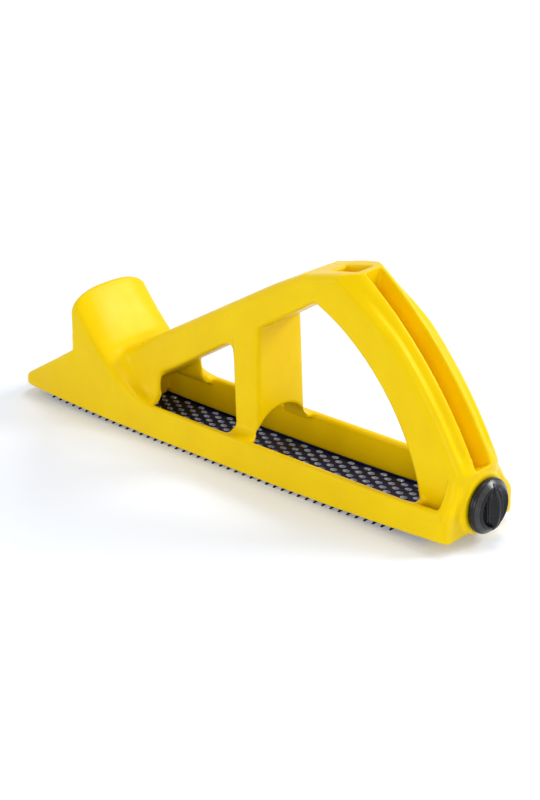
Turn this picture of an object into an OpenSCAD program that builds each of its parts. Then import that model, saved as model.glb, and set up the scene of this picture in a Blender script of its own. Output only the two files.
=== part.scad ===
// Rasp plane: a moulded body with a closed rear handle and a front palm rest,
// holding a perforated rasp blade that a screw and knob at the heel keep taut.
// Lengths are millimetres. +X points from the toe to the heel, +Z points up.

/* [Body] */
// length of the heel behind the blade
heel_length = 15; // [14:0.5:18]
// thickness of each side rail
rail_wall = 4; // [3:0.25:6]
// height of the side rails above the sole's ends
rail_height = 14.5; // [13:0.5:18]
// how far the middle of the sole bows below its ends
belly_drop = 3.2; // [0:0.1:5]
// length of the flat stretch in the middle of the sole
sole_flat = 60; // [30:5:100]
// plan radius of the two heel corners
heel_corner_radius = 4; // [2:0.5:8]
// plan radius of the two toe corners
toe_corner_radius = 7; // [3:0.5:10]
// thickness of the end wall at the heel
heel_wall = 6; // [5:0.5:8]
// height over which the heel draws in from the rails to the handle
heel_flare_height = 20; // [12:1:21]

/* [Palm rest] */
// where the front face of the palm rest stands, from the toe
palm_front = 41; // [34:1:48]
// height of the crest of the palm rest
palm_height = 60; // [50:1:72]
// radius of the crest in side view
crest_radius = 2.5; // [1.5:0.25:4]
// how much narrower the palm rest is on each side at its crest
palm_draft = 1.2; // [0:0.1:3]
// how far the crown of the palm rest drops towards its sides
palm_crown = 9; // [4:0.5:11]
// rake of the nose between the toe and the palm rest, in degrees
nose_angle = 31; // [24:1:38]
// radius of the rounded tip of the nose, in side view
nose_radius = 10.5; // [7:0.5:13]
// where the hollow slope behind the crest runs out and the front window begins
slope_end = 94; // [88:1:104]
// how sharply that slope is hollowed, 1 being a straight ramp
slope_power = 1.75; // [1.3:0.05:2.4]

/* [Strut and handle] */
// width of the strut and of the handle
grip_width = 30; // [26:0.5:34]
// depth of the strut at its top end, square to its top
strut_depth = 15.5; // [12:0.5:20]
// depth of the strut at its root
strut_root_depth = 18.5; // [14:0.5:22]
// height of the strut's top line straight above the front edge of the window
strut_rise = 48.5; // [46:0.5:54]
// how far the top corner of the handle stands in front of the heel
apex_back = 61; // [54:1:70]
// height of the top corner of the handle
apex_height = 105.5; // [98:0.5:114]
// length of the flatter stretch at the top of the handle
apex_flat = 33; // [26:1:40]
// how far the strut ends below the top corner of the handle
shoulder_drop = 6; // [3:0.5:9]
// how far the back of the handle bows out
back_bow = 6; // [3:0.2:9]
// how far the front of the handle bows into the hand opening
front_bow = 9.6; // [5:0.2:13]
// depth of the handle where it leaves the strut
grip_depth = 26; // [22:0.5:32]
// depth of the handle's foot behind the hand opening
foot_depth = 24; // [21:0.5:28]
// height where the handle's back runs into the round boss at the heel
back_foot_height = 29.5; // [27:0.5:36]
// height of the hollow fillets that spread the strut's root onto the rails
flank_fillet = 10; // [7:0.5:12]
// thickness of the walls round the hollow under the strut's root
root_wall = 2.4; // [1.6:0.2:3.4]
// radius of the rounded edges of the strut
edge_radius = 2.5; // [1:0.25:4]
// width of the rounding along each back edge of the handle
back_round = 10; // [6:0.5:12]
// width of the groove down the back of the handle
groove_width = 10; // [6:0.5:14]
// depth of that groove
groove_depth = 12; // [6:0.5:14]
// width of the bar between the groove and the pocket in the top
groove_bar = 2.8; // [2:0.2:5]
// length of the pocket in the top of the handle
pocket_length = 17; // [10:0.5:20]

/* [Post] */
// length of the hand opening between the post and the handle's foot
hand_length = 93; // [84:1:104]
// thickness of the post at its foot, along the body
post_depth = 15.5; // [12:0.5:20]
// how much wider the post gets on each side towards its foot
post_spread = 1.3; // [0:0.1:3]
// how much thicker the post is at its top
post_draft = 2; // [0:0.1:4]
// radius of the fillets that spread the post's legs onto the rails
post_fillet = 4.5; // [2:0.25:6]
// height of the arch through the foot of the post, above the rails
arch_rise = 11; // [8:0.5:14]
// width of that arch between the post's legs
arch_width = 37.5; // [32:0.5:38]
// radius of the window's corner between the post and the strut
window_radius = 6; // [3:0.5:9]

/* [Blade] */
// length of the blade
blade_length = 254; // [236:1:276]
// width of the blade
blade_width = 41.3; // [38:0.1:44]
// thickness of the blade
blade_thickness = 0.8; // [0.5:0.05:1.2]
// where the toe end of the blade lies, from the toe
blade_start = 9; // [7:0.5:14]
// height of the blade's turned-up edges
blade_flange = 2.6; // [1.5:0.1:4]
// step along the blade from one tooth of a slanted row to the next
tooth_step_x = 4.6; // [3.6:0.1:6]
// step across the blade from one tooth of a slanted row to the next
tooth_step_y = 2.7; // [2.4:0.1:4]
// distance along the blade between slanted rows
row_pitch = 10; // [8:0.1:14]
// length of each hole along the blade
hole_length = 2.1; // [1.4:0.1:2.6]
// width of each hole and of its tooth
hole_width = 1.9; // [1.2:0.1:2.2]
// how far each tooth stands below the blade
tooth_height = 1.5; // [0.8:0.1:2]
// length of each tooth along the blade
tooth_length = 1.9; // [1.2:0.1:2.2]
// plain margin at each end of the blade
blade_end_margin = 20; // [16:0.5:26]

/* [Tension gear] */
// diameter of the tension screw
screw_diameter = 5; // [4:0.1:6]
// height of the screw's axis above the sole's ends
screw_height = 12.5; // [11:0.25:14]
// travel of the hook from taut to slack
hook_travel = 3.2; // [1.6:0.8:4.8]
// thickness of the hook plate
hook_thickness = 2; // [1.5:0.1:3]
// width of the hook plate
hook_width = 14; // [10:0.5:18]
// width of the square nut over its flats
nut_width = 8; // [7:0.5:10]
// thickness of the square nut
nut_thickness = 4; // [3:0.1:5]
// diameter of the knob
knob_diameter = 25.4; // [20:0.2:28]
// thickness of the knob's disc
knob_disc = 6.3; // [5:0.1:7]
// height of the grip bar over the disc
knob_bar = 3.4; // [2.5:0.1:6]
// width of the grip bar
knob_bar_width = 10; // [7:0.5:13]
// depth of the finger hollows beside the bar
knob_hollow = 2; // [1:0.1:2.6]
// height of the round boss behind the knob
boss_height = 2; // [1:0.1:4]
// how far the boss stands out round the knob
boss_border = 1.4; // [0.5:0.1:3]
// thickness of the thrust washer under the knob
washer_thickness = 1; // [0.6:0.1:1.6]
// diameter of the thrust washer
washer_diameter = 12; // [10:0.5:16]

/* [Fits] */
// gap on each side of the blade inside the rails
blade_side_gap = 0.35; // [0.2:0.05:0.8]
// gap between the blade and the bed above it
bed_gap = 0.1; // [0.05:0.05:0.3]
// radial running fit of the screw in its bores
screw_fit = 0.05; // [0.02:0.01:0.08]
// gap round the hook in the slots it reaches through
hook_gap = 0.3; // [0.2:0.05:0.6]

/* [Hidden] */

yellow = [0.95, 0.78, 0.05];
blade_black = [0.10, 0.11, 0.14];
knob_black = [0.12, 0.12, 0.13];
steel = [0.72, 0.73, 0.75];

body_length = blade_start + blade_length + heel_length;
blade_half = blade_width / 2;
channel_half = blade_half + blade_side_gap;
half_width = channel_half + rail_wall;
knob_radius = knob_diameter / 2;
boss_face = body_length + boss_height;
knob_back = boss_face + washer_thickness / 2;
knob_face = knob_back + knob_disc;
overall_length = knob_face + knob_bar;

// stretch of arc steps along the bowed sole
sole_steps = 6;
below = -2 * (belly_drop + tooth_height) - 6;

blade_end = blade_start + blade_length;
window_front = slope_end;
palm_crest = palm_front + crest_radius;
hook_slot = hook_thickness + hook_travel + 2 * hook_gap;
chamber_gap = 0.8;
clip_thickness = 1;
clip_gap = 0.2;
clip_radius = screw_diameter / 2 + 2.2;
screw_neck = screw_diameter / 2 - 0.6;
// the hook's plate stands behind the retaining clip, its nut on the plate's toe side,
// and its finger drops through the blade a little inside the blade's end
chamber_back = body_length - heel_wall;
plate_x = chamber_back - clip_gap - clip_thickness - 1.3;
nut_x = plate_x - hook_thickness - nut_thickness;
chamber_front = nut_x - hook_travel - chamber_gap;
chamber_half = max(hook_width, nut_width) / 2 + chamber_gap;
chamber_top = screw_height + nut_width / 2 + 1 + chamber_gap;
finger_x = blade_end - 4.5;
tongue_low = blade_thickness + hook_gap;
tongue_top = tongue_low + hook_thickness;
hook_tip = 0.6;
toe_hook_x = blade_start + 6;
toe_hook_top = 9;
screw_end = nut_x - hook_travel + 0.6;
knob_socket = knob_disc - 1;
pocket_floor = 3;

// height of the bowed sole at x, zero at both ends and flat in the middle
function belly(x) =
    let (flat = sole_flat / body_length,
         away = max(0, (abs(2 * x / body_length - 1) - flat) / (1 - flat)))
    -belly_drop * (1 - away * away);

function blend(a, b, t) = a + (b - a) * t;

// points of the circular arc from a to b that bows out by bow to the left
function arc(a, b, bow, steps) =
    let (chord = b - a,
         len = norm(chord),
         side = [-chord[1], chord[0]] / len,
         radius = len * len / (8 * bow) + bow / 2,
         centre = (a + b) / 2 - side * (radius - bow),
         start = atan2(a[1] - centre[1], a[0] - centre[0]),
         sweep = 2 * asin(len / (2 * radius)))
    [for (i = [0 : steps])
        let (angle = start - sweep * i / steps)
        centre + radius * [cos(angle), sin(angle)]];

// closed loop across a member from its inner edge point to its outer edge point,
// half_y wide to each side, with round corners outside and inside
function section(inner, outer, half_y, out_y, out_t, in_r, steps = 4) =
    let (depth = norm(outer - inner),
         along = (outer - inner) / depth)
    [for (corner = [0 : 3], i = [0 : steps])
        let (angle = 90 * (corner + i / steps),
             round_y = corner < 2 ? out_y : in_r,
             round_t = corner < 2 ? out_t : in_r,
             mid_y = (corner == 0 || corner == 3 ? 1 : -1) * (half_y - round_y),
             mid_t = corner < 2 ? depth - round_t : round_t,
             y = mid_y + round_y * cos(angle),
             t = mid_t + round_t * sin(angle))
        [inner[0] + along[0] * t, y, inner[1] + along[1] * t]];

// closed skin over a row of loops with the same number of points
module skin(loops) {
    n = len(loops[0]);
    m = len(loops);
    points = [for (loop = loops) each loop];
    sides = [for (i = [0 : m - 2], j = [0 : n - 1])
        let (a = i * n + j,
             b = i * n + (j + 1) % n,
             c = a + n,
             d = b + n)
        each [[a, c, b], [b, c, d]]];
    first = [for (j = [0 : n - 1]) j];
    last = [for (j = [n - 1 : -1 : 0]) (m - 1) * n + j];
    polyhedron(points = points, faces = concat(sides, [first], [last]));
}

// places along the body from x0 to x1, closer together where the sole bows
function sole_places(x0, x1) =
    let (flat0 = (body_length - sole_flat) / 2,
         flat1 = flat0 + sole_flat)
    concat([for (i = [0 : sole_steps]) blend(x0, flat0, i / sole_steps)],
           [for (i = [0 : sole_steps]) blend(flat1, x1, i / sole_steps)]);

// side view of something that follows the bowed sole from x0 to x1
function sole_band(x0, x1, low, high) =
    let (places = sole_places(x0, x1),
         count = len(places))
    concat([for (x = places) [x, low == undef ? below : belly(x) + low]],
           [for (i = [count - 1 : -1 : 0]) [places[i], belly(places[i]) + high]]);

// side view polygon drawn across the body from y0 to y1
module across(y0, y1) {
    translate([0, y1, 0])
        rotate([90, 0, 0])
            linear_extrude(height = y1 - y0)
                children();
}

// end view polygon drawn along the body from x0 to x1
module along(x0, x1) {
    translate([x0, 0, 0])
        rotate([90, 0, 90])
            linear_extrude(height = x1 - x0)
                children();
}

module box(x0, x1, y0, y1, z0, z1) {
    translate([x0, y0, z0])
        cube([x1 - x0, y1 - y0, z1 - z0]);
}

// round bar or bore along the screw's axis
module axial(x0, x1, r, z = screw_height) {
    translate([x0, 0, z])
        rotate([0, 90, 0])
            cylinder(r = r, h = x1 - x0, $fn = 32);
}

// from the body's own zero, at the toe and the sole's ends, to the part's origin:
// the middle of its length, on the surface it stands on
module in_place() {
    translate([-overall_length / 2, 0, belly_drop + tooth_height])
        children();
}

// ---- body ----

nose_start = 80;
nose_tip = 0.8;

// point of the rounded nose where its outline rises at the given angle
function nose_point(angle) =
    nose_radius * [sin(nose_start) - sin(angle), cos(angle) - cos(nose_start)] + [0, nose_tip];

nose_end = nose_point(nose_angle);

function nose_top(x) = nose_end[1] + (x - nose_end[0]) * tan(nose_angle);

// height of the hollow slope behind the crest
function slope_top(x) =
    rail_height + (palm_height + crest_radius / 2 - rail_height)
        * pow((slope_end - x) / (slope_end - palm_crest), slope_power);

// stations of the palm rest along the body, each with its height
nose_stations = concat(
    [for (i = [0 : 6]) nose_point(blend(nose_start, nose_angle, i / 6))],
    [[palm_front - crest_radius / 4, nose_top(palm_front - crest_radius / 4)]]);
palm_stations = concat(
    [[palm_front - crest_radius / 8, nose_top(palm_front) + crest_radius / 2]],
    [for (a = [180, 150, 120, 90, 65])
        [palm_crest + crest_radius * cos(a) + (180 - a) / 1000,
         palm_height - crest_radius + crest_radius * sin(a)]],
    [for (t = [0.04, 0.1, 0.18, 0.27, 0.37, 0.48, 0.6, 0.73, 0.87, 1])
        let (x = blend(palm_crest, slope_end, t))
        [x, slope_top(x)]]);

function toe_half(x) =
    x < toe_corner_radius
        ? half_width - toe_corner_radius
            + sqrt(pow(toe_corner_radius, 2) - pow(toe_corner_radius - x, 2))
        : half_width;

// end view of the palm rest at x: upright sides to side_z, then drawn in by draft
// and closed by a crown that is round_y wide on each side and round_z deep
function crowned(x, top, half, draft, side_z, round_y, round_z) =
    let (inner = half - draft - round_y - 0.05,
         right = concat([[half, below], [half, side_z]],
                        [for (i = [0 : 7])
                            let (a = 90 * i / 7)
                            [inner + round_y * cos(a),
                             top - round_z + round_z * sin(a)]]),
         count = len(right))
    concat([for (p = right) [x, p[0], p[1]]],
           [for (i = [count - 1 : -1 : 0]) [x, -right[i][0], right[i][1]]]);

// nose, palm rest and the hollow slope behind it
module toe_block() {
    nose = [for (p = nose_stations)
        crowned(p[0], p[1], toe_half(p[0]), 0, min(rail_height, p[1]) - 1.6, 1.5, 1.5)];
    palm = [for (p = palm_stations)
        let (rise = max(0, (p[1] - rail_height) / (palm_height - rail_height)),
             draft = palm_draft * rise,
             round_z = blend(1.5, palm_crown, pow(rise, 0.7)))
        crowned(p[0], p[1], toe_half(p[0]), draft, min(rail_height, p[1] - round_z) - 0.1,
                blend(2, half_width - draft - 4, pow(rise, 1.2)), round_z)];
    skin(concat(nose, palm));
}

// side rails and heel wall, open between the rails
module rails() {
    r = heel_corner_radius;
    x0 = nose_end[0] + (rail_height - nose_end[1]) / tan(nose_angle) + 4;
    x1 = body_length;
    difference() {
        translate([0, 0, below])
            linear_extrude(height = rail_height - below)
                union() {
                    translate([x0, -half_width])
                        square([x1 - r - x0, 2 * half_width]);
                    translate([x1 - 2 * r, -half_width + r])
                        square([2 * r, 2 * (half_width - r)]);
                    for (s = [-1, 1])
                        translate([x1 - r, s * (half_width - r)])
                            circle(r = r, $fn = 32);
                }
        box(window_front, blade_end + 0.5, -channel_half, channel_half,
            below - 1, rail_height + 1);
        box(blade_end, x1 - heel_wall, -channel_half, channel_half,
            pocket_floor, rail_height + 1);
    }
}

// the heel above the rails, drawn in from their full width to the handle's
module heel_flare() {
    depth = max(heel_wall, heel_corner_radius + 1);
    neck = grip_width / 2 - 2;
    wide = half_width - 0.3;
    levels = concat([for (i = [6 : -1 : 0])
                        [rail_height + heel_flare_height * i / 6, 1 - pow(1 - i / 6, 1.5)]],
                    [[rail_height - 3, 0]]);
    skin([for (level = levels)
        let (t = level[1])
        [for (p = section([body_length - depth, 0], [body_length - 0.2, 0],
                          blend(wide, neck, t), blend(heel_corner_radius, back_round, t),
                          blend(heel_corner_radius, depth - 1, t), 0.5))
            [p[0], p[1], level[0]]]]);
}

apex_x = body_length - apex_back;
apex = [apex_x, apex_height];
shoulder = [apex_x - apex_flat, apex_height - shoulder_drop];
strut_foot = [window_front, strut_rise];
strut_angle = atan2(shoulder[1] - strut_foot[1], shoulder[0] - strut_foot[0]);

function strut_top(x) = strut_foot[1] + (x - strut_foot[0]) * tan(strut_angle);
function strut_under(x) =
    strut_top(x) - blend(strut_root_depth, strut_depth,
                         (x - strut_foot[0]) / (shoulder[0] - strut_foot[0])) / cos(strut_angle);

back_foot = [boss_face - 0.5, back_foot_height];
foot_corner = [body_length - foot_depth, rail_height + 4];
inner_corner_x = apex_x - grip_depth * 0.85;
inner_corner = [inner_corner_x, strut_under(inner_corner_x)];

handle_steps = 14;
back_arc = arc(apex, back_foot, back_bow, handle_steps);
front_arc = arc(inner_corner + edge_radius * [1, -0.25], foot_corner, front_bow, handle_steps);

// section of the strut whose top is at x, square to the strut
function strut_section(x) =
    let (under_x = x + strut_depth * sin(strut_angle))
    section([under_x, strut_under(under_x)], [x, strut_top(x)], grip_width / 2,
            edge_radius * 1.6, edge_radius * 1.4, edge_radius);

// strut, apex and handle as one member with a rounded section
module frame_loop() {
    half_y = grip_width / 2;
    strut_length = shoulder[0] - strut_foot[0];
    strut = [for (t = [-0.43, 0, 0.45, 0.93])
        strut_section(strut_foot[0] + t * strut_length)];
    crest = [for (step = [[0.09, -0.15, 1.6, 1.4], [0.4, -0.05, 2, 1.4], [0.76, 0.04, 2.8, 1.8]])
        let (t = step[0],
             x = blend(inner_corner_x, inner_corner_x + apex_flat, step[1]))
        section([x, strut_under(min(x, inner_corner_x))],
                [blend(shoulder[0], apex_x, t), blend(shoulder[1], apex_height, t)]
                    + [0, edge_radius * 0.1 * (1 - t)],
                half_y, edge_radius * step[2], edge_radius * step[3], edge_radius)];
    handle = [for (i = [0 : handle_steps])
        section(front_arc[i], back_arc[i], half_y, back_round, back_round * 0.6, edge_radius)];
    foot = [for (p = [[0.65, 1.3], [0.3, 0], [below / rail_height, 0]])
        section([foot_corner[0] + 1.5, rail_height * p[0]],
                [body_length - 0.2 + p[1], max(rail_height * p[0] * 1.6, below)],
                half_y, back_round, back_round * 0.6, edge_radius)];
    skin(concat(strut, crest, handle, foot));
}

// half of the end view of the strut's root: upright sides that spread in a hollow
// fillet to reach the rails, drawn in by inset all round
function flank(inset) =
    let (half = grip_width / 2 + 0.3,
         spread = channel_half + 0.5 - half)
    [for (i = [0 : 6])
        let (a = 15 * i)
        [half + spread * (1 - cos(a)) - inset,
         rail_height + flank_fillet * (1 - sin(a)) - inset]];

function mirrored(points) =
    concat(points, [for (i = [len(points) - 1 : -1 : 0]) [-points[i][0], points[i][1]]]);

// root of the strut in front of the window, tied to the rails
module strut_flanks() {
    top = strut_under(window_front) + edge_radius;
    along(palm_front + (slope_end - palm_front) / 2, window_front)
        polygon(mirrored(concat([[grip_width / 2 - 0.3, top]], flank(0),
                                [[channel_half + 0.5, rail_height - 1]])));
}

// hollow under the strut's root, open to the window and to the blade
module root_hollow() {
    top = strut_under(window_front) + edge_radius;
    start = blend(palm_front, slope_end, 0.4);
    intersection() {
        along(start, window_front + 0.1)
            polygon(mirrored(concat([[grip_width / 2 - root_wall, top]], flank(root_wall),
                                    [[channel_half, rail_height - root_wall * 1.6],
                                     [channel_half, below]])));
        across(-channel_half, channel_half)
            polygon([[start, below],
                     [start, max(strut_under(start), blade_flange + 1)],
                     [window_front + 1, strut_under(window_front)],
                     [window_front + 1, below]]);
    }
}

// groove down the back of the handle, and the pocket in its top
module handle_groove() {
    half_y = groove_width / 2;
    out = [for (i = [0 : handle_steps])
        back_arc[i] + groove_bar * (back_arc[i] - front_arc[i]) / norm(back_arc[i] - front_arc[i])];
    deep = [for (i = [0 : handle_steps])
        back_arc[i] - groove_depth * (back_arc[i] - front_arc[i])
            / norm(back_arc[i] - front_arc[i])];
    last = handle_steps;
    across(-half_y, half_y)
        polygon(concat([[apex_x, apex_height + 6]],
                       [for (i = [1 : last]) out[i]],
                       [for (i = [last : -1 : 1]) deep[i]],
                       [[apex_x - 1, apex_height - groove_depth]]));
    pocket_end = apex_x - 1 - groove_bar;
    across(-half_y, half_y)
        polygon([[pocket_end, apex_height + 6],
                 [pocket_end - 1, apex_height - groove_depth * 0.75],
                 [pocket_end - pocket_length + 2, apex_height - groove_depth],
                 [pocket_end - pocket_length, apex_height + 6]]);
}

// post between the rails and the strut, with an arch between its two legs
module post() {
    x1 = foot_corner[0] - hand_length;
    x0 = x1 - post_depth;
    top_z = strut_top(x0) - strut_depth / 2;
    top_half = grip_width / 2;
    neck_half = min(top_half + post_spread, channel_half - 1);
    foot_half = channel_half + 0.5;
    spread = foot_half - neck_half;
    arch_half = min(arch_width / 2, channel_half - 2);
    leg_end = rail_height - 2.5;
    arch_foot = rail_height * 0.55;
    levels = concat(
        [[top_z, top_half, post_draft]],
        [for (i = [0 : 6])
            let (a = 90 * i / 6)
            [rail_height + post_fillet * (1 - sin(a)), neck_half + spread * (1 - cos(a)), 0]],
        [[leg_end, foot_half, 0]]);
    difference() {
        skin([for (level = levels)
            [for (p = section([x0 - level[2], 0], [x1, 0], level[1],
                              edge_radius * 0.8, edge_radius * 0.8, edge_radius * 0.8, 3))
                [p[0], p[1], level[0]]]]);
        along(x0 - post_draft - 1, x1 + 1)
            polygon(concat(
                [[arch_half, below]],
                [for (i = [0 : 24])
                    let (a = 180 * i / 24)
                    [arch_half * cos(a), arch_foot + (rail_height + arch_rise - arch_foot) * sin(a)]],
                [[-arch_half, below]]));
    }
}

// rounded corner of the window between the post and the strut
module window_corner() {
    x = foot_corner[0] - hand_length - post_depth - post_draft * 0.8;
    corner = [x, strut_under(x)];
    low = corner - [0, window_radius * 1.3];
    back = [x - window_radius, strut_under(x - window_radius)];
    across(-grip_width / 2 + 0.8, grip_width / 2 - 0.8)
        polygon(concat([corner + [2, 2]],
                       [for (i = [0 : 8])
                           let (t = i / 8)
                           blend(blend(low, corner, t), blend(corner, back, t), t)],
                       [back + [0, 1]]));
}

// ribs that tie the foot of the handle to the rails
module foot_gussets() {
    x = foot_corner[0] + 3;
    for (s = [-1, 1])
        box(x, x + 3, min(s * (grip_width / 2 - 1), s * (channel_half + 1)),
            max(s * (grip_width / 2 - 1), s * (channel_half + 1)), below, rail_height - 0.8);
}

module body_frame() {
    color(yellow)
        in_place()
            difference() {
                union() {
                    difference() {
                        union() {
                            rails();
                            toe_block();
                        }
                        box(window_front, body_length - heel_wall,
                            -channel_half, channel_half, rail_height - 1, rail_height + 8);
                        box(window_front, blade_end,
                            -channel_half, channel_half, below - 1, rail_height);
                    }
                    frame_loop();
                    strut_flanks();
                    post();
                    window_corner();
                    heel_flare();
                    foot_gussets();
                    axial(body_length - heel_wall / 2, boss_face, knob_radius + boss_border);
                }
                // bowed sole
                across(-2 * half_width, 2 * half_width)
                    polygon(concat([[-20, below - 20], [-20, 0]],
                                   [for (x = sole_places(0, body_length)) [x, belly(x)]],
                                   [[body_length + 20, 0], [body_length + 20, below - 20]]));
                // bed for the blade, with room for its turned-up edges
                across(-channel_half, channel_half)
                    polygon(sole_band(blade_start - 0.5, blade_end + 0.5, undef,
                                      blade_thickness + bed_gap));
                for (s = [-1, 1])
                    translate([0, s * (channel_half - 0.85), 0])
                        across(-0.85, 0.85)
                            polygon(sole_band(blade_start - 0.5, blade_end + 0.5, undef,
                                              blade_flange + 0.5));
                // chamber for the hook and its nut, with a low mouth for the finger
                box(chamber_front, chamber_back, -chamber_half, chamber_half,
                    below, chamber_top);
                box(finger_x - hook_thickness - hook_travel - chamber_gap, chamber_back,
                    -chamber_half, chamber_half, below, tongue_top + chamber_gap);
                // bearing of the screw, and the seat of its washer
                axial(chamber_back - 1, boss_face + 1, screw_diameter / 2 + screw_fit);
                axial(boss_face - washer_thickness / 2, boss_face + 1,
                      washer_diameter / 2 + 0.2);
                // slot that holds the toe hook
                box(toe_hook_x, toe_hook_x + hook_thickness,
                    -hook_width / 2, hook_width / 2, below, toe_hook_top);
                root_hollow();
                handle_groove();
            }
}

// ---- blade ----

// tooth places: slanted rows, kept clear of the ends and of the turned-up edges
function tooth_places() =
    let (x0 = blade_start + blade_end_margin,
         x1 = blade_end - blade_end_margin,
         y1 = blade_half - blade_thickness - hole_width / 2 - 0.5,
         rows = ceil((x1 - x0) / row_pitch) + ceil(2 * y1 / tooth_step_y * tooth_step_x / row_pitch),
         count = floor(2 * y1 / tooth_step_y))
    [for (row = [-rows : rows], i = [0 : count])
        let (x = x0 + row * row_pitch + i * tooth_step_x,
             y = count * tooth_step_y / 2 - i * tooth_step_y)
        if (x > x0 && x + tooth_length < x1) [x, y]];

module rasp_blade() {
    places = tooth_places();
    color(blade_black)
        in_place()
            difference() {
                union() {
                    across(-blade_half, blade_half)
                        polygon(sole_band(blade_start, blade_end, 0, blade_thickness));
                    for (s = [-1, 1])
                        translate([0, s * (blade_half - blade_thickness / 2), 0])
                            across(-blade_thickness / 2, blade_thickness / 2)
                                polygon(sole_band(blade_start + blade_end_margin / 2,
                                                  blade_end - blade_end_margin / 2,
                                                  0, blade_flange));
                    for (p = places)
                        translate([p[0], p[1], belly(p[0])])
                            across(-hole_width / 2, hole_width / 2)
                                polygon([[0, blade_thickness / 2],
                                         [0, -tooth_height],
                                         [tooth_length, blade_thickness / 2]]);
                }
                for (p = places)
                    box(p[0] - hole_length, p[0], p[1] - hole_width / 2, p[1] + hole_width / 2,
                        below, blade_flange);
                // slots for the two hooks
                box(toe_hook_x - hook_gap, toe_hook_x + hook_thickness + hook_gap,
                    -hook_width / 2 - hook_gap, hook_width / 2 + hook_gap, below, blade_flange);
                box(finger_x + hook_gap - hook_slot, finger_x + hook_gap,
                    -hook_width / 2 - hook_gap, hook_width / 2 + hook_gap, below, blade_flange);
            }
}

// fixed hook in the toe that the blade's front slot drops over
module toe_hook() {
    color(steel)
        in_place()
            box(toe_hook_x, toe_hook_x + hook_thickness, -hook_width / 2, hook_width / 2,
                belly(toe_hook_x) - hook_tip, toe_hook_top);
}

// ---- tension gear ----

// bent plate whose finger reaches through the blade's rear slot, drawn back by its nut
module tension_hook() {
    half_y = hook_width / 2;
    plate_top = screw_height + nut_width / 2 + 1;
    color(steel)
        in_place()
            difference() {
                across(-half_y, half_y)
                    polygon([[plate_x, tongue_low],
                             [plate_x, plate_top],
                             [plate_x - hook_thickness, plate_top],
                             [plate_x - hook_thickness, tongue_top],
                             [finger_x - hook_thickness, tongue_top],
                             [finger_x - hook_thickness, belly(finger_x) - hook_tip],
                             [finger_x, belly(finger_x) - hook_tip],
                             [finger_x, tongue_low]]);
                axial(plate_x - hook_thickness - 1, plate_x + 1, screw_diameter / 2 + 0.3);
            }
}

module square_nut() {
    color(steel)
        in_place()
            difference() {
                box(nut_x, nut_x + nut_thickness, -nut_width / 2, nut_width / 2,
                    screw_height - nut_width / 2, screw_height + nut_width / 2);
                axial(nut_x - 1, nut_x + nut_thickness + 1, screw_diameter / 2 + screw_fit);
            }
}

module tension_screw() {
    color(steel)
        in_place()
            difference() {
                axial(screw_end, knob_back + knob_socket, screw_diameter / 2);
                difference() {
                    axial(chamber_back - clip_gap - clip_thickness, chamber_back - clip_gap,
                          screw_diameter / 2 + 1);
                    axial(chamber_back - clip_gap - clip_thickness - 1, chamber_back,
                          screw_neck);
                }
            }
}

// split ring in the screw's neck that keeps it from drawing out of the wall
module retaining_clip() {
    x1 = chamber_back - clip_gap;
    color(steel)
        in_place()
            difference() {
                axial(x1 - clip_thickness, x1, clip_radius);
                axial(x1 - clip_thickness - 1, x1 + 1, screw_neck);
                box(x1 - clip_thickness - 1, x1 + 1, -screw_neck * 0.8, screw_neck * 0.8,
                    screw_height - clip_radius - 1, screw_height);
            }
}

module thrust_washer() {
    color(steel)
        in_place()
            difference() {
                axial(boss_face - washer_thickness / 2, boss_face + washer_thickness / 2,
                      washer_diameter / 2);
                axial(boss_face - washer_thickness, boss_face + washer_thickness,
                      screw_diameter / 2 + 0.2);
            }
}

module tension_knob() {
    bar_half = knob_radius - 1;
    eye_radius = (pow(bar_half, 2) + pow(knob_bar_width / 2, 2)) / knob_bar_width;
    color(knob_black)
        in_place()
            difference() {
                union() {
                    difference() {
                        translate([knob_back, 0, screw_height])
                            rotate([0, 90, 0])
                                rotate_extrude($fn = 48)
                                    polygon([[0, 0], [knob_radius - 0.6, 0],
                                             [knob_radius, 0.6],
                                             [knob_radius, knob_disc - 1.6],
                                             [knob_radius - 0.5, knob_disc - 0.5],
                                             [knob_radius - 1.6, knob_disc],
                                             [0, knob_disc]]);
                        axial(knob_face - knob_hollow, knob_face + 1, knob_radius - 2.2);
                    }
                    translate([knob_face - knob_hollow - 0.5, 0, screw_height])
                        intersection() {
                            across(-knob_bar_width / 2, knob_bar_width / 2)
                                polygon([for (i = [0 : 24])
                                    let (a = 180 * i / 24)
                                    [(knob_bar + knob_hollow + 0.5) * sin(a),
                                     bar_half * cos(a)]]);
                            intersection_for (side = [-1, 1])
                                translate([0, side * (eye_radius - knob_bar_width / 2), 0])
                                    axial(-1, knob_bar + knob_hollow + 2, eye_radius, 0);
                        }
                }
                axial(knob_back - 1, knob_back + knob_socket, screw_diameter / 2);
            }
}

body_frame();
rasp_blade();
toe_hook();
tension_hook();
square_nut();
tension_screw();
retaining_clip();
thrust_washer();
tension_knob();
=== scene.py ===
"""Looks, light and camera for the rasp plane.

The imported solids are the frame. The moulded body, the blade, the knob and the
screw are redrawn here with the softness and small detail of the real ones. The
hooks and the nut keep their solids with eased edges, and the clip and the washer
only take their material.
"""

import math

import bmesh
import bpy
import numpy as np
from mathutils import Matrix, Vector

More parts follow.
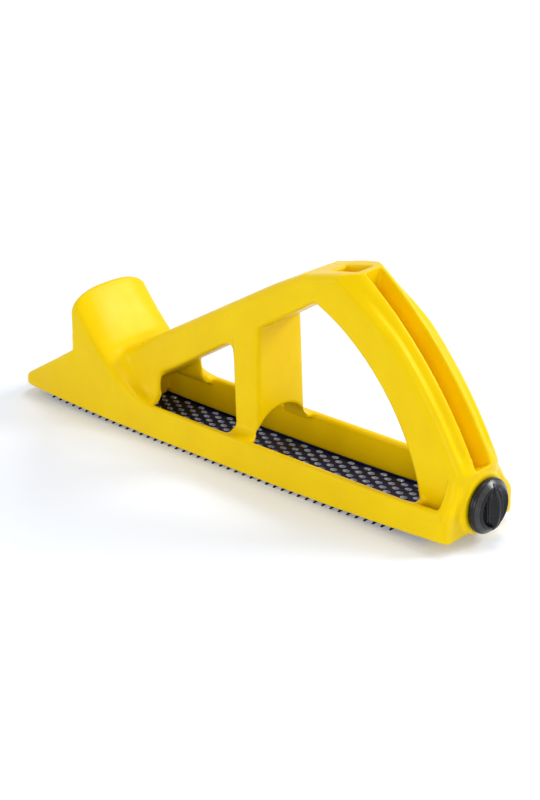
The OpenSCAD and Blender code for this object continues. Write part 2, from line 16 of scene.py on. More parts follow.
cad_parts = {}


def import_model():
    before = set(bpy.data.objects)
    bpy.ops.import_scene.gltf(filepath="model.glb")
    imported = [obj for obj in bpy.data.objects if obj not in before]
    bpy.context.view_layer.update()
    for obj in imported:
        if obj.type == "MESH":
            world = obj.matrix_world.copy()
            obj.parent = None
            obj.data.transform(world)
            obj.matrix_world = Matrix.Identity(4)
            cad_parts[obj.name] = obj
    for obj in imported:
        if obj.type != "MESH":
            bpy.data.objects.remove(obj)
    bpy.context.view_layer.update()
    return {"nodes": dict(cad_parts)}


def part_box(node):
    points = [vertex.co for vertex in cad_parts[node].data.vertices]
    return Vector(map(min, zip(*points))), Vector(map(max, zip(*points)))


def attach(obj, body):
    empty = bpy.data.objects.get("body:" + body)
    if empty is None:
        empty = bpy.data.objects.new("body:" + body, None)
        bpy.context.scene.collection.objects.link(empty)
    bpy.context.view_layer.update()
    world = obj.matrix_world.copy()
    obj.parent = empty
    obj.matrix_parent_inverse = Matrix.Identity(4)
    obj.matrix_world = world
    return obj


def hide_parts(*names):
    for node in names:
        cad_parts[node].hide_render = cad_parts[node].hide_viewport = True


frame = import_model()

MM = 0.001

# ---- the frame's own measures ----

body_low, _ = (Vector(c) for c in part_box("body_frame"))
blade_low, blade_high = (Vector(c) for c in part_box("rasp_blade"))
knob_low, knob_high = (Vector(c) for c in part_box("tension_knob"))
screw_low, screw_high = (Vector(c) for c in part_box("tension_screw"))
clip_low, clip_high = (Vector(c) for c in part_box("retaining_clip"))

SOLE_ENDS = 4.7 * MM   # height of the sole's two ends above the floor
BODY_LENGTH = 278      # from the toe to the heel wall, in millimetres
BELLY_DROP = 3.2       # how far the middle of the sole bows down
SOLE_FLAT = 60         # its flat stretch

toe_x = body_low.x
axis_z = (screw_low.z + screw_high.z) / 2   # height of the screw's axis


def at(x, y, z):
    """A point measured in millimetres from the toe, on the middle plane, at the sole's ends."""
    return Vector((toe_x + x * MM, y * MM, SOLE_ENDS + z * MM))


def belly(x):
    """Height of the bowed sole at x millimetres from the toe."""
    flat = SOLE_FLAT / BODY_LENGTH
    away = max(0, (abs(2 * x / BODY_LENGTH - 1) - flat) / (1 - flat))
    return -BELLY_DROP * (1 - away * away)


# ---- colours and materials ----

def rgb(red, green, blue):
    """Linear colour from the 0 to 255 values a screen shows."""
    def linear(v):
        v /= 255
        return v / 12.92 if v <= 0.04045 else ((v + 0.055) / 1.055) ** 2.4
    return (linear(red), linear(green), linear(blue), 1)


class Look:
    """A Principled material with its node tree within easy reach."""

    def __init__(self, name, **sockets):
        self.material = bpy.data.materials.new(name)
        self.material.use_nodes = True
        self.tree = self.material.node_tree
        self.shader = self.tree.nodes["Principled BSDF"]
        self.place = self.add("ShaderNodeTexCoord").outputs["Object"]
        for socket, value in sockets.items():
            self.shader.inputs[socket.replace("_", " ")].default_value = value

    def add(self, kind, inputs=(), **settings):
        node = self.tree.nodes.new(kind)
        for key, value in settings.items():
            setattr(node, key, value)
        for key, value in dict(inputs).items():
            self.join(value, node.inputs[key])
        return node

    def join(self, value, socket):
        if isinstance(value, bpy.types.NodeSocket):
            self.tree.links.new(value, socket)
        else:
            socket.default_value = value

    def noise(self, size, detail=2, rough=0.5, stretch=(1, 1, 1)):
        """Noise whose blobs are about size metres wide."""
        mapping = self.add("ShaderNodeMapping", {"Vector": self.place, "Scale": stretch})
        return self.add("ShaderNodeTexNoise", {
            "Vector": mapping.outputs[0], "Scale": 1 / size,
            "Detail": detail, "Roughness": rough}).outputs["Fac"]

    def ramp(self, value, *stops):
        """Colours or greys at places from 0 to 1."""
        node = self.add("ShaderNodeValToRGB", {"Fac": value})
        elements = node.color_ramp.elements
        while len(elements) < len(stops):
            elements.new(1)
        for element, (place, colour) in zip(elements, stops):
            element.position = place
            element.color = colour if isinstance(colour, tuple) else (colour, colour, colour, 1)
        return node.outputs["Color"]

    def mix(self, share, a, b):
        node = self.add("ShaderNodeMix", data_type="RGBA")
        for key, value in ((0, share), (6, a), (7, b)):
            self.join(value, node.inputs[key])
        return node.outputs[2]

    def bump(self, height, depth, strength=1.0, under=None):
        node = self.add("ShaderNodeBump", {"Height": height, "Distance": depth,
                                           "Strength": strength})
        if under is not None:
            self.join(under, node.inputs["Normal"])
        return node.outputs["Normal"]

    def set(self, socket, value):
        self.join(value, self.shader.inputs[socket])


def moulded_yellow():
    """Glossy moulded plastic: a faint mottle from the melt, fine pitting, soft waves."""
    look = Look("moulded_yellow", IOR=1.46, Specular_IOR_Level=0.2,
                Specular_Tint=(1.0, 0.92, 0.5, 1))
    mottle = look.noise(28 * MM, detail=3)
    look.set("Base Color", look.mix(look.ramp(mottle, (0.38, 0.0), (0.66, 1.0)),
                                    rgb(247, 210, 0), rgb(242, 203, 0)))
    look.set("Roughness", look.ramp(look.noise(9 * MM, detail=4), (0.3, 0.26), (0.7, 0.36)))
    waves = look.bump(look.noise(14 * MM, detail=1), 0.10 * MM, 0.35)
    look.set("Normal", look.bump(look.noise(0.55 * MM, detail=3, rough=0.6),
                                 0.012 * MM, 0.5, under=waves))
    return look.material


def blued_steel():
    """Dark hardened strip: near black with a blue cast and drawn streaks."""
    look = Look("blued_steel", Metallic=0.05, Specular_IOR_Level=0.12)
    cloud = look.noise(6 * MM, detail=4)
    streak = look.noise(1.2 * MM, detail=3, stretch=(0.12, 1, 1))
    dark = look.mix(look.ramp(cloud, (0.35, 0.0), (0.7, 1.0)), rgb(6, 12, 46), rgb(14, 24, 68))
    look.set("Base Color", look.mix(look.ramp(streak, (0.62, 0.0), (0.76, 0.35)),
                                    dark, rgb(50, 60, 92)))
    look.set("Roughness", look.ramp(streak, (0.3, 0.34), (0.75, 0.52)))
    look.set("Normal", look.bump(look.noise(0.5 * MM, detail=4), 0.015 * MM, 0.5))
    return look.material


def tooth_steel_painted_sheen():
    """The scooped faces of the teeth, shaped by the press, their pale grey a painted sheen
    standing in for their shine.
    """
    look = Look("tooth_steel_painted_sheen", Metallic=0.1)
    streak = look.noise(0.4 * MM, detail=3, stretch=(1, 0.2, 1))
    look.set("Base Color", look.mix(look.ramp(streak, (0.35, 0.0), (0.7, 1.0)),
                                    rgb(136, 146, 176), rgb(164, 174, 204)))
    look.set("Roughness", look.ramp(streak, (0.3, 0.48), (0.7, 0.62)))
    look.set("Normal", look.bump(streak, 0.01 * MM, 0.4))
    return look.material


def knob_plastic():
    """Dark glass-filled plastic, satin, with greyish rubbed patches."""
    look = Look("knob_plastic", IOR=1.5, Specular_IOR_Level=0.3)
    blotch = look.noise(5 * MM, detail=4)
    look.set("Base Color", look.mix(look.ramp(blotch, (0.4, 0.0), (0.75, 1.0)),
                                    rgb(13, 13, 14), rgb(26, 26, 28)))
    look.set("Roughness", look.ramp(look.noise(2 * MM, detail=4), (0.3, 0.18), (0.7, 0.30)))
    look.set("Normal", look.bump(look.noise(0.35 * MM, detail=3), 0.02 * MM, 0.5))
    return look.material


def knob_border_painted_sheen():
    """The knob's chamfer, glossier than the rest, with a lighter grey base colour that is a
    painted sheen standing in for its highlight.
    """
    look = Look("knob_border_painted_sheen", IOR=1.6, Specular_IOR_Level=0.45)
    blotch = look.noise(3 * MM, detail=3)
    # lighter greys in blotches over the chamfer: painted sheen
    look.set("Base Color", look.mix(look.ramp(blotch, (0.4, 0.0), (0.75, 1.0)),
                                    rgb(22, 22, 24), rgb(44, 44, 46)))
    look.set("Roughness", look.ramp(look.noise(1.5 * MM, detail=3), (0.3, 0.18), (0.7, 0.32)))
    look.set("Normal", look.bump(look.noise(1.2 * MM, detail=2), 0.03 * MM, 0.5))
    return look.material


def bright_zinc():
    """Zinc-plated steel with a faint spangle and drawn streaks."""
    look = Look("bright_zinc", Metallic=1.0)
    spangle = look.noise(2.2 * MM, detail=3)
    look.set("Base Color", look.mix(look.ramp(spangle, (0.35, 0.0), (0.7, 1.0)),
                                    rgb(186, 190, 196), rgb(216, 218, 220)))
    look.set("Roughness", look.ramp(look.noise(1.1 * MM, detail=4, stretch=(0.2, 1, 1)),
                                    (0.3, 0.22), (0.75, 0.42)))
    look.set("Normal", look.bump(look.noise(0.6 * MM, detail=3), 0.01 * MM, 0.5))
    return look.material


YELLOW = moulded_yellow()
BLUED = blued_steel()
TOOTH_STEEL_PAINTED_SHEEN = tooth_steel_painted_sheen()
KNOB = knob_plastic()
KNOB_BORDER_PAINTED_SHEEN = knob_border_painted_sheen()
ZINC = bright_zinc()


# ---- mesh helpers ----

def piece(name, bm, *materials):
    """Object from a bmesh, smooth, with its materials."""
    mesh = bpy.data.meshes.new(name)
    bm.to_mesh(mesh)
    bm.free()
    obj = bpy.data.objects.new(name, mesh)
    bpy.context.scene.collection.objects.link(obj)
    for material in materials:
        mesh.materials.append(material)
    mesh.polygons.foreach_set("use_smooth", [True] * len(mesh.polygons))
    return obj


def copy_of(node, name, material):
    """New object with the mesh of a CAD node."""
    obj = bpy.data.objects.new(name, frame["nodes"][node].data.copy())
    bpy.context.scene.collection.objects.link(obj)
    obj.data.materials.clear()
    obj.data.materials.append(material)
    return obj


def stand_for(obj, node, body):
    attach(obj, body)
    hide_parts(node)


def apply_modifiers(obj):
    """The mesh with its modifiers applied takes the place of the plain one."""
    bpy.context.view_layer.update()
    graph = bpy.context.evaluated_depsgraph_get()
    done = bpy.data.meshes.new_from_object(obj.evaluated_get(graph))
    obj.modifiers.clear()
    obj.data = done


def points_of(obj):
    """Rows of x, y, z of the vertices, in metres."""
    flat = np.empty(len(obj.data.vertices) * 3)
    obj.data.vertices.foreach_get("co", flat)
    return flat.reshape(-1, 3)


def from_toe(points):
    """The same rows in millimetres, measured as at() does."""
    return (points - np.array(at(0, 0, 0))) / MM


def weigh(obj, name, values):
    """Vertex group with a weight from 0 to 1 for each vertex."""
    group = obj.vertex_groups.new(name=name)
    levels = np.round(np.clip(values, 0, 1) * 20).astype(int)
    for level in range(1, 21):
        indices = np.flatnonzero(levels == level)
        if len(indices):
            group.add([int(i) for i in indices], level / 20, "REPLACE")


def ease(value, low, high):
    """0 below low, 1 above high, smooth in between."""
    t = np.clip((value - low) / (high - low), 0, 1)
    return t * t * (3 - 2 * t)


def within(value, low, high, fade):
    """1 between low and high, fading to 0 over fade on each side."""
    return ease(value, low - fade, low) * (1 - ease(value, high, high + fade))


def smooth(obj, turns, group=None):
    modifier = obj.modifiers.new("smooth", "SMOOTH")
    modifier.factor = 0.5
    modifier.iterations = turns
    if group:
        modifier.vertex_group = group


def grid_faces(bm, rows, closed=False, material=0):
    """Quads between rows of vertices; closed joins each row's end to its start."""
    for a, b in zip(rows, rows[1:]):
        count = len(a) if closed else len(a) - 1
        for i in range(count):
            j = (i + 1) % len(a)
            bm.faces.new((a[i], a[j], b[j], b[i])).material_index = material


# ---- the moulded body ----
#
# Lengths from here on are millimetres, and places in the body are measured as at() does:
# x from the toe, y from the middle plane, z from the sole's ends.

BODY_VOXEL = 0.55
KEPT_FACES = 0.45   # share of the faces that thinning leaves

# rounds of smoothing
EDGE_TURNS = 9      # rounds every edge of the moulding
SOLE_TURNS = 12     # rounds the outer edges of the sole further
RAIL_TURNS = 26     # draws the soft bead along the rails' tops
BROAD_TURNS = 110   # flows the palm rest's slope into the rails
ROOT_TURNS = 300    # melts the strut's root into the slope
LAST_TURNS = 2      # settles the thinned mesh

APEX_FRONT, APEX_BACK = 184, 217   # the top of the handle
APEX_SWEEP = 6.0    # how far the top's back corners stand in front of its middle
SHOULDER_DROP = 0.6   # how far the top's front bends down towards the strut
FLARE_TUCK = 1.5    # how far the heel's upper corners are drawn in
SOLE_HALF = 25
SOLE_EDGE, SOLE_RISE = 21.4, 1.5   # where the rails' undersides start to rise, and how far

# arc of the handle's back in side view, and the valley along each side of it
BACK_CENTRE, BACK_RADIUS = (94.8, -58.7), 204.7
VALLEY_Y, VALLEY_WIDTH, VALLEY_DEPTH = 9.6, 1.7, 1.6
VALLEY_WAY = (0.85, 0.5)   # shares of the depth that go forwards and down


def shape_body(points):
    """Move the body's vertices, rows in metres, and return where each was in the body."""
    x, y, z = from_toe(points).T
    y = np.abs(y)

    # the back corners of the handle's top are swept forward
    along = np.clip((x - APEX_FRONT) / (APEX_BACK - APEX_FRONT), 0, 1)
    points[:, 0] -= APEX_SWEEP * MM * (ease(y, 5.5, 13.5) * ease(z, 80, 104) * along)

    # the top runs down in a soft curve towards the strut
    points[:, 2] -= SHOULDER_DROP * MM * within(x, 178, 188, 20) * ease(z, 88, 96)

    # two ridges along the back, with a shallow valley between them
    out = np.hypot(x - BACK_CENTRE[0], z - BACK_CENTRE[1]) - BACK_RADIUS
    valley = VALLEY_DEPTH * MM * (
        np.exp(-((y - VALLEY_Y) / VALLEY_WIDTH) ** 2) * ease(out, -7, -4)
        * within(z, 40, 88, 12) * (x > APEX_FRONT))
    points[:, 0] -= valley * VALLEY_WAY[0]
    points[:, 2] -= valley * VALLEY_WAY[1]

    # the heel's upper corners run into the handle
    tuck = FLARE_TUCK * MM * within(z, 15, 28, 5) * ease(y, 15, 23) * ease(x, 252, 272)
    points[:, 1] -= tuck * np.sign(points[:, 1])

    # the rails' undersides rise towards their outer edges
    places = np.linspace(0, BODY_LENGTH, 60)
    above = z - np.interp(x, places, [belly(v) for v in places])
    rise = SOLE_RISE * ease(y, SOLE_EDGE, SOLE_HALF) * (1 - ease(above, 0.3, 4))
    points[:, 2] += rise * MM
    return x, y, z, above


def soften_body(obj, x, y, z, above):
    """Smooth the whole moulding, then its softer parts further."""
    smooth(obj, EDGE_TURNS)
    for name, turns, weights in (
            ("sole", SOLE_TURNS, (1 - ease(above, 2, 4)) * ease(y, 22, 23)),
            ("rail", RAIL_TURNS, within(z, 14, 21, 3) * ease(y, 17.5, 19.5) * (x > 20)),
            ("broad", BROAD_TURNS,
             within(x, 53, 96, 7) * ease(z, 17, 20) * (1 - ease(y, 18.5, 22))),
            ("root", ROOT_TURNS,
             within(x, 58, 76, 10) * ease(z, 18, 24) * (1 - ease(y, 17.5, 20.5)))):
        weigh(obj, name, weights)
        smooth(obj, turns, name)


def moulded_body():
    """The body's solid, remeshed and relaxed so that every edge has its moulded radius."""
    obj = copy_of("body_frame", "body_shell", YELLOW)
    remesh = obj.modifiers.new("remesh", "REMESH")
    remesh.mode = "VOXEL"
    remesh.voxel_size = BODY_VOXEL * MM
    remesh.use_smooth_shade = True
    apply_modifiers(obj)

    points = points_of(obj)
    places = shape_body(points)
    obj.data.vertices.foreach_set("co", points.ravel())

    soften_body(obj, *places)
    thin = obj.modifiers.new("thin", "DECIMATE")
    thin.ratio = KEPT_FACES
    smooth(obj, LAST_TURNS)
    normals = obj.modifiers.new("normals", "WEIGHTED_NORMAL")
    normals.mode = "FACE_AREA"
    normals.weight = 50
    apply_modifiers(obj)
    return obj


stand_for(moulded_body(), "body_frame", "plane")


# ---- the rasp blade ----

BLADE_START, BLADE_END = ((corner.x - toe_x) / MM for corner in (blade_low, blade_high))
BLADE_HALF = blade_high.y / MM
SHEET = 0.8           # thickness of the strip
BEND = 0.6            # radius of the bend at its turned-up edges
FLANGE_TOP = 1.5      # height of those edges
HOOK_SLOTS = ((14.7, 17.6), (253.0, 258.8))   # from and to, along the strip
SLOT_HALF = 7.3

TEETH_FROM_END = 20   # plain margin at each end
PLAIN_SIDE = 1.45     # plain strip along each turned-up edge
TOOTH_STEP = (4.6, 2.7)   # from one tooth of a slanted row to the next, along and across
ROW_PITCH = 10
HOLE_LENGTH, HOLE_HALF = 2.0, 1.15   # reach of a hole towards the toe, and half its width
HOLE_POINTS = 16
HOLE_RING, LIP_DROP = 0.22, 0.10     # width and drop of the rolled lip round it
APRON = ((0.80, 0.34), (0.52, 0.58), (0.18, 0.74))   # its toe side: share of the hole, depth
TOOTH_LENGTH, TOOTH_HEIGHT = 1.5, 1.5   # reach of a tooth towards the heel, and its depth
TOOTH_SHEET = 0.35    # thickness left in the stretched wall of a tooth

SAW_ROOT, SAW_TIP = 3.0, 1.1   # lengths of the saw teeth along the strip's lower corners
SAW_WIDTH, SAW_LEAN = 1.0, 0.9
SAW_SPLAY = 1.7       # how far their tips stand out beyond the strip


def tooth_places():
    """Slanted rows of teeth, kept clear of the ends and of the turned-up edges."""
    x0, x1 = BLADE_START + TEETH_FROM_END, BLADE_END - TEETH_FROM_END
    count = int(2 * (BLADE_HALF - SHEET - PLAIN_SIDE) / TOOTH_STEP[1])
    rows = int((x1 - x0) / ROW_PITCH) + 8
    for row in range(-rows, rows + 1):
        for i in range(count + 1):
            x = x0 + row * ROW_PITCH + i * TOOTH_STEP[0]
            if x0 < x < x1 - TOOTH_LENGTH:
                yield x, (count / 2 - i) * TOOTH_STEP[1]


def hole_outline(px, py, grow):
    """Points round a tooth's hole, which reaches further to the toe than to the heel."""
    points = []
    for k in range(HOLE_POINTS):
        a = 2 * math.pi * (k + 0.5) / HOLE_POINTS
        reach = (TOOTH_LENGTH if math.cos(a) > 0 else HOLE_LENGTH) + grow
        points.append((px + reach * math.cos(a), py + (HOLE_HALF + grow) * math.sin(a)))
    return points


def blade():
    """Upper face of the strip with its scooped teeth, then given its thickness downwards."""
    bm = bmesh.new()
    thin = []   # vertices of the stretched teeth
    rim = []    # edges that bound the flat sheet

    def vertex(x, y, z):
        return bm.verts.new((x, y, z + SHEET))

    def outline(points):
        verts = [vertex(x, y, 0) for x, y in points]
        rim.extend(bm.edges.new((a, b)) for a, b in zip(verts, verts[1:] + verts[:1]))
        return verts

    def sides(x0, x1, y, step):
        count = max(1, round(abs(x1 - x0) / step))
        return [(x0 + (x1 - x0) * i / count, y) for i in range(count + 1)]

    def saw_corners(start, length, inner, side, z):
        inner, outer_y = side * inner, side * (inner + SAW_WIDTH)
        return [vertex(start + dx, y, z) for dx, y in
                ((0, inner), (0, outer_y), (length, outer_y), (length, inner))]

    bend_y = BLADE_HALF - SHEET - BEND
    flange = (BLADE_START + TEETH_FROM_END / 2, BLADE_END - TEETH_FROM_END / 2)
    outer = ([(BLADE_START, BLADE_HALF)]
             + [(flange[0] - BEND, BLADE_HALF)] + sides(*flange, bend_y, 8)
             + [(flange[1] + BEND, BLADE_HALF), (BLADE_END, BLADE_HALF)])
    outer = outline(outer + [(x, -y) for x, y in reversed(outer)])
    for x0, x1 in HOOK_SLOTS:
        outline([(x0, -SLOT_HALF), (x1, -SLOT_HALF), (x1, SLOT_HALF), (x0, SLOT_HALF)])

    # turned-up edges, bent through a small radius
    bend = [(0.35, 0.1), (0.55, 0.35), (BEND, 0.8), (BEND, FLANGE_TOP - SHEET)]
    for side in (1, -1):
        foot = [v for v in outer if abs(v.co.y - side * bend_y) < 1e-6]
        foot.sort(key=lambda v: v.co.x * side)
        rows = [foot] + [[vertex(v.co.x, side * (bend_y + out), up) for v in foot]
                         for out, up in bend]
        grid_faces(bm, rows)

    # saw teeth along the strip's two lower corners, leaning towards the toe
    for side in (1, -1):
        for x in np.arange(flange[0] + 2, flange[1] - 2, ROW_PITCH / 2):
            top = saw_corners(x, SAW_ROOT, BLADE_HALF - SAW_WIDTH - 0.1, side, -0.3)
            low = saw_corners(x - SAW_LEAN, SAW_TIP, BLADE_HALF + SAW_SPLAY - SAW_WIDTH, side,
                              -SHEET - TOOTH_HEIGHT)
            grid_faces(bm, [top, low], closed=True)
            bm.faces.new(low)

    # each hole with its tooth: a rolled lip, an apron on the toe side, a scoop on the other
    quarter = HOLE_POINTS // 4
    depth = SHEET + TOOTH_HEIGHT - TOOTH_SHEET
    for px, py in tooth_places():
        flat = outline(hole_outline(px, py, HOLE_RING))
        lip = [vertex(x, y, -LIP_DROP) for x, y in hole_outline(px, py, 0)]
        grid_faces(bm, [flat, lip], closed=True, material=1)

        rows = [lip[quarter:-quarter]]
        for share, down in APRON:
            rows.append([vertex(px - 0.2 + (v.co.x - px) * share,
                                py + (v.co.y - py) * share, -down) for v in rows[0]])
            thin.extend(rows[-1])
        grid_faces(bm, rows, material=1)

        rows = [lip[-quarter:] + lip[:quarter]]
        for turn in (28, 52, 72):
            t = math.radians(turn)
            rows.append([vertex(px + (v.co.x - px) * math.cos(t),
                                py + (v.co.y - py) * math.cos(t),
                                -LIP_DROP - (depth - LIP_DROP) * math.sin(t)) for v in rows[0]])
            thin.extend(rows[-1])
        grid_faces(bm, rows, material=1)
        tip = vertex(px + 0.15, py, -depth)
        thin.append(tip)
        for a, b in zip(rows[-1], rows[-1][1:]):
            bm.faces.new((a, b, tip)).material_index = 1

    bmesh.ops.triangle_fill(bm, use_beauty=True, use_dissolve=False, edges=rim)
    bmesh.ops.recalc_face_normals(bm, faces=bm.faces)
    if sum(face.normal.z * face.calc_area() for face in bm.faces) < 0:
        bmesh.ops.reverse_faces(bm, faces=bm.faces)
    bm.verts.index_update()
    stretched = [v.index for v in thin]
    for v in bm.verts:
        v.co = at(v.co.x, v.co.y, v.co.z + belly(v.co.x))
    # the second material, on the teeth's lips, aprons and scoops, is pale grey as a painted sheen
    obj = piece("blade_toothed", bm, BLUED, TOOTH_STEEL_PAINTED_SHEEN)

    group = obj.vertex_groups.new(name="full")
    group.add(list(range(len(obj.data.vertices))), 1.0, "REPLACE")
    group.add(stretched, TOOTH_SHEET / SHEET, "REPLACE")
    solid = obj.modifiers.new("thickness", "SOLIDIFY")
    solid.thickness = SHEET * MM
    solid.offset = -1
    solid.vertex_group = "full"
    solid.use_rim = True
    return obj


stand_for(blade(), "rasp_blade", "plane")


# ---- the knob ----

KNOB_RADIUS = (knob_high.z - knob_low.z) / 2 / MM
DISC = 5.6              # thickness of the disc
SLOPE_WIDTH, SLOPE_DROP = 3.3, 2.8   # the wide chamfer round the disc's face
DISH = 1.3              # depth of the hollow round the grip
GRIP_HALF_LENGTH = KNOB_RADIUS - 0.8
GRIP_HALF_WIDTH = 5.0
GRIP_TOP = 8.8          # height of the grip's crest above the knob's back


def knob_point(bm, out, y, z):
    """Vertex at out millimetres in front of the knob's back."""
    return bm.verts.new((knob_low.x + out * MM, y * MM, axis_z + z * MM))


def knob():
    """Turned disc with a sloped border, and an eye-shaped grip with finger scoops across it."""
    bm = bmesh.new()
    slope_r, slope_out = KNOB_RADIUS - SLOPE_WIDTH, DISC - SLOPE_DROP
    # radius and distance from the back, from the middle of the back round to the hollow
    profile = [(0.4, 0), (KNOB_RADIUS - 0.5, 0), (KNOB_RADIUS - 0.1, 0.25), (KNOB_RADIUS, 0.8),
               (KNOB_RADIUS, slope_out - 0.6), (KNOB_RADIUS - 0.1, slope_out - 0.2),
               (KNOB_RADIUS - 0.45, slope_out + 0.25),
               (slope_r + 0.5, DISC - 0.4), (slope_r, DISC - 0.12), (slope_r - 0.4, DISC),
               (slope_r - 0.8, DISC - 0.15), (slope_r - 1.6, DISC - 0.6 * DISH),
               (slope_r - 3.0, DISC - DISH), (0.4, DISC - DISH)]
    sloped = 6   # the place in the profile where the chamfer starts
    around = 96
    rows = []
    for r, out in profile:
        rows.append([knob_point(bm, out, r * math.cos(2 * math.pi * k / around),
                                r * math.sin(2 * math.pi * k / around)) for k in range(around)])
    grid_faces(bm, rows[:sloped + 1], closed=True)
    # the chamfer takes the second material, whose lighter grey is a painted sheen
    grid_faces(bm, rows[sloped:sloped + 2], closed=True, material=1)
    grid_faces(bm, rows[sloped + 1:], closed=True)
    bm.faces.new(rows[0])
    bm.faces.new(rows[-1])

    # across the grip, as shares of its half width and height: foot, thin rim, hollow flank,
    # crest, groove, and the same mirrored
    floor_out = slope_out - 1.2
    half_section = [(1.04, 0.0), (1.02, 0.36), (0.98, 0.47), (0.92, 0.48), (0.80, 0.44),
                    (0.64, 0.46), (0.50, 0.58), (0.40, 0.76), (0.34, 0.91), (0.29, 0.985),
                    (0.24, 1.0), (0.18, 0.97), (0.06, 0.94)]
    section = [(-v, h) for v, h in half_section] + [(v, h) for v, h in reversed(half_section)]
    rise = GRIP_TOP - floor_out
    steps = 44
    rows = []
    for i in range(steps + 1):
        u = -math.cos(math.pi * i / steps)                 # -1 to 1 along the grip
        width = GRIP_HALF_WIDTH * max(0.05, 1 - abs(u) ** 2.4) ** 0.62
        height = rise * max(0.05, 1 - abs(u) ** 2.2) ** 0.5
        rows.append([knob_point(bm, floor_out + height * h, width * v, GRIP_HALF_LENGTH * u)
                     for v, h in section])
    grid_faces(bm, rows)
    bm.faces.new(rows[0])
    bm.faces.new(rows[-1])
    bmesh.ops.recalc_face_normals(bm, faces=bm.faces)
    obj = piece("knob_turned", bm, KNOB, KNOB_BORDER_PAINTED_SHEEN)
    finer = obj.modifiers.new("finer", "SUBSURF")
    finer.levels = finer.render_levels = 1
    return obj


stand_for(knob(), "tension_knob", "knob")


# ---- the screw ----

SCREW_RADIUS = (screw_high.z - screw_low.z) / 2 / MM
THREAD_PITCH, THREAD_DEPTH = 0.8, 0.46
START_TAPER = 0.35   # how much thinner the thread's first end is
RUN_OUT = 0.6        # plain stretch between the thread and the clip's neck
NECK_DEPTH = 0.6
CHAMFER = (0.5, 0.4)   # length and depth, at the end in the knob
EDGE = 0.001         # length over which the neck's shoulders step


def screw():
    """Threaded up to the clip's neck, plain in its bearing and in the knob."""
    bm = bmesh.new()
    start, end = screw_low.x / MM, screw_high.x / MM
    neck0, neck1 = clip_low.x / MM, clip_high.x / MM
    threaded = neck0 - RUN_OUT
    around, per_turn = 32, 8
    stations = list(np.arange(start, threaded, THREAD_PITCH / per_turn))
    stations += [threaded, neck0, neck0 + EDGE, neck1 - EDGE, neck1, end - CHAMFER[0], end]
    rows = []
    for x in stations:
        row = []
        for k in range(around):
            turn = k / around
            r = SCREW_RADIUS
            if x < threaded:
                wave = abs(((x - start) / THREAD_PITCH - turn) % 1 * 2 - 1)
                fade = min(1, (x - start) / THREAD_PITCH + 0.1)
                cut = THREAD_DEPTH * min(1, max(0, wave * 1.25 - 0.1))
                r -= cut * fade + START_TAPER * (1 - fade)
            elif neck0 < x < neck1:
                r -= NECK_DEPTH
            elif x == end:
                r -= CHAMFER[1]
            a = 2 * math.pi * turn
            row.append(bm.verts.new((x * MM, r * MM * math.cos(a), axis_z + r * MM * math.sin(a))))
        rows.append(row)
    grid_faces(bm, rows, closed=True)
    bm.faces.new(rows[0])
    bm.faces.new(rows[-1])
    bmesh.ops.recalc_face_normals(bm, faces=bm.faces)
    return piece("screw_threaded", bm, ZINC)


stand_for(screw(), "tension_screw", "knob")


# ---- the other steel pieces ----

def eased(node, name, width):
    """The solid with its edges eased by a small radius."""
    obj = copy_of(node, name, ZINC)
    bm = bmesh.new()
    bm.from_mesh(obj.data)
    bmesh.ops.remove_doubles(bm, verts=bm.verts, dist=1e-6)
    bmesh.ops.dissolve_limit(bm, angle_limit=math.radians(2), verts=bm.verts, edges=bm.edges)
    bm.to_mesh(obj.data)
    bm.free()
    edges = obj.modifiers.new("edges", "BEVEL")
    edges.width = width
    edges.segments = 3
    edges.limit_method = "ANGLE"
    edges.angle_limit = math.radians(35)
    edges.harden_normals = True
    obj.data.polygons.foreach_set("use_smooth", [True] * len(obj.data.polygons))
    return obj


stand_for(eased("toe_hook", "toe_hook_eased", 0.3 * MM), "toe_hook", "plane")
stand_for(eased("tension_hook", "tension_hook_eased", 0.35 * MM), "tension_hook", "hook")
stand_for(eased("square_nut", "square_nut_eased", 0.35 * MM), "square_nut", "hook")
for node in ("retaining_clip", "thrust_washer"):
    for slot in frame["nodes"][node].material_slots:
        slot.material = ZINC


# ---- floor, light and camera ----

def camera_share(tree, *rays):
    """Output that is 1 for the given kinds of ray."""
    path = tree.nodes.new("ShaderNodeLightPath")
    seen = path.outputs[rays[0]]
    for ray in rays[1:]:
        most = tree.nodes.new("ShaderNodeMath")
        most.operation = "MAXIMUM"
        tree.links.new(seen, most.inputs[0])
        tree.links.new(path.outputs[ray], most.inputs[1])
        seen = most.outputs[0]
    return seen


# White that the camera alone sees added to the floor, close to the object and far from it.
LIFT_NEAR, LIFT_FAR = 0.17, 0.62
LIFT_STARTS, LIFT_ENDS = 0.25, 1.2   # metres from the object


def floor():
    """Pale floor that the camera sees as white, with the object's shadow on it."""
    bm = bmesh.new()
    bmesh.ops.create_grid(bm, x_segments=8, y_segments=8, size=3)
    look = Look("floor_white", Roughness=0.9)
    look.set("Base Color", look.mix(look.noise(0.4, detail=1),
                                    rgb(234, 239, 250), rgb(237, 242, 252)))
    look.shader.inputs["Emission Color"].default_value = (1, 1, 1, 1)
    away = look.add("ShaderNodeVectorMath", {0: look.place}, operation="LENGTH")
    level = look.add("ShaderNodeMapRange", {
        "Value": away.outputs["Value"], "From Min": LIFT_STARTS, "From Max": LIFT_ENDS,
        "To Min": LIFT_NEAR, "To Max": LIFT_FAR})
    seen = camera_share(look.tree, "Is Camera Ray", "Is Glossy Ray")
    lift = look.add("ShaderNodeMath", {0: seen, 1: level.outputs[0]}, operation="MULTIPLY")
    look.set("Emission Strength", lift.outputs[0])
    obj = piece("floor", bm, look.material)


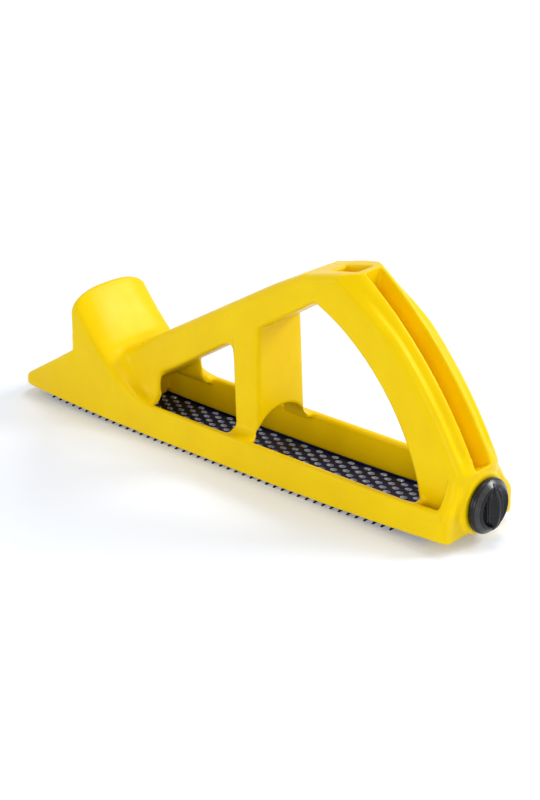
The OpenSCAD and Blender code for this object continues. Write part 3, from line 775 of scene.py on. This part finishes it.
def world(strength):
    """Even white surroundings, seen as pure white."""
    studio = bpy.data.worlds.new("studio")
    bpy.context.scene.world = studio
    studio.use_nodes = True
    tree = studio.node_tree
    back = tree.nodes["Background"]
    back.inputs["Color"].default_value = (1, 1, 1, 1)
    level = tree.nodes.new("ShaderNodeMapRange")
    level.inputs["To Min"].default_value = strength
    level.inputs["To Max"].default_value = 1
    tree.links.new(camera_share(tree, "Is Camera Ray", "Is Glossy Ray", "Is Transmission Ray"),
                   level.inputs["Value"])
    tree.links.new(level.outputs[0], back.inputs["Strength"])


def softbox(name, place, size, power, target=(0, 0, 0.03)):
    """Area lamp of a width and height, turned to the target."""
    lamp = bpy.data.lights.new(name, "AREA")
    lamp.shape = "RECTANGLE"
    lamp.size, lamp.size_y = size
    lamp.energy = power
    obj = bpy.data.objects.new(name, lamp)
    obj.location = place
    obj.rotation_euler = (Vector(target) - Vector(place)).to_track_quat("-Z", "Y").to_euler()
    bpy.context.scene.collection.objects.link(obj)


# The photograph's viewpoint, found from the outline of the body in it.
VIEW_AZIMUTH = math.radians(43.666)
VIEW_ELEVATION = math.radians(23.247)
VIEW_ROLL = math.radians(-1.173)
VIEW_PLACE = Vector((0.575403, -0.594096, 0.383428))
VIEW_LENS = 85.358  # millimetres on a sensor 36 mm high


def photo_camera():
    back = Vector((math.sin(VIEW_AZIMUTH) * math.cos(VIEW_ELEVATION),
                   -math.cos(VIEW_AZIMUTH) * math.cos(VIEW_ELEVATION),
                   math.sin(VIEW_ELEVATION)))
    level = Vector((math.cos(VIEW_AZIMUTH), math.sin(VIEW_AZIMUTH), 0))
    upright = back.cross(level)
    right = level * math.cos(VIEW_ROLL) + upright * math.sin(VIEW_ROLL)
    up = back.cross(right)
    turn = Matrix((right, up, back)).transposed()
    lens = bpy.data.cameras.new("photo_camera")
    lens.lens = VIEW_LENS
    lens.sensor_fit = "VERTICAL"
    lens.sensor_height = 36
    obj = bpy.data.objects.new("photo_camera", lens)
    obj.matrix_world = Matrix.Translation(VIEW_PLACE) @ turn.to_4x4()
    bpy.context.scene.collection.objects.link(obj)
    bpy.context.scene.camera = obj


floor()
world(0.5)
softbox("key", (0.75, 0.9, 0.85), (0.6, 0.4), 10)
softbox("near_left", (-0.8, -1.1, 0.4), (0.6, 0.6), 2.8)
softbox("near_right", (0.9, -1.1, 0.4), (0.5, 0.5), 5)
softbox("top", (0.1, 0.35, 1.4), (0.5, 0.5), 4.5)
photo_camera()
bpy.context.scene.view_settings.view_transform = "Standard"
